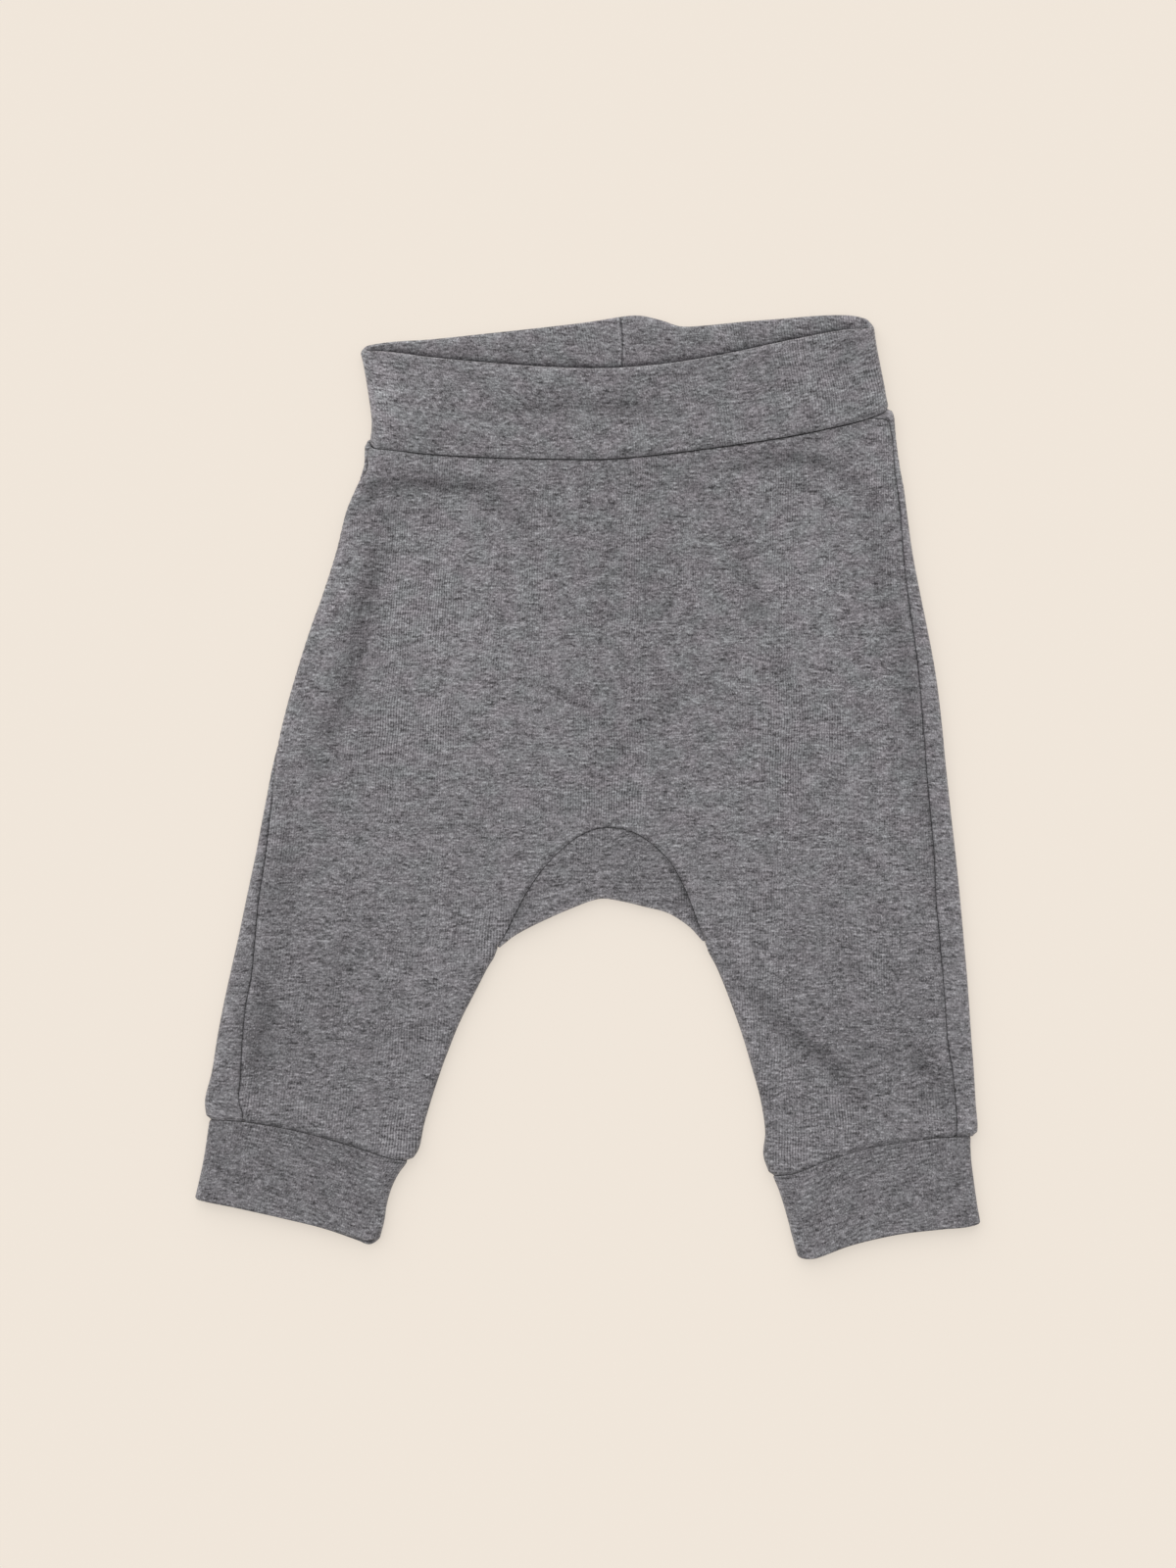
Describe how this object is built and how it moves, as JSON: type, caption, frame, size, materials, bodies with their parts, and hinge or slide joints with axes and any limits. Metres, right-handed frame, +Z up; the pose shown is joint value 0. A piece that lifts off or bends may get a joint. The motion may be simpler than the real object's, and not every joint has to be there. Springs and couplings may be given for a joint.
{
  "type": "harem pants",
  "caption": "Baby harem pants in grey heather knit, lying flat: deep fold-over waistband, wide body with an arched crotch gusset, tapered legs and folded ankle cuffs.",
  "frame": {"origin": "under the middle of the garment's outline, on the surface it lies on", "axes": "+Y towards the waist, +X towards the wearer's left, +Z up from the surface, out of the garment's front"},
  "size_m": [0.282, 0.3392, 0.0055],
  "materials": {
    "body_jersey": "soft grey heather cotton jersey, matt, with fine upright ribs of stitches",
    "gusset_jersey": "the same grey heather cotton jersey, matt",
    "band_jersey": "the same grey heather cotton jersey, folded double, matt",
    "cuff_jersey": "the same grey heather cotton jersey, folded double, matt"
  },
  "bodies": {
    "root": {"front_panel": "body_jersey", "back_panel": "body_jersey", "gusset": "gusset_jersey", "waistband": "band_jersey", "cuff_right": "cuff_jersey", "cuff_left": "cuff_jersey"}
  },
  "joints": []
}
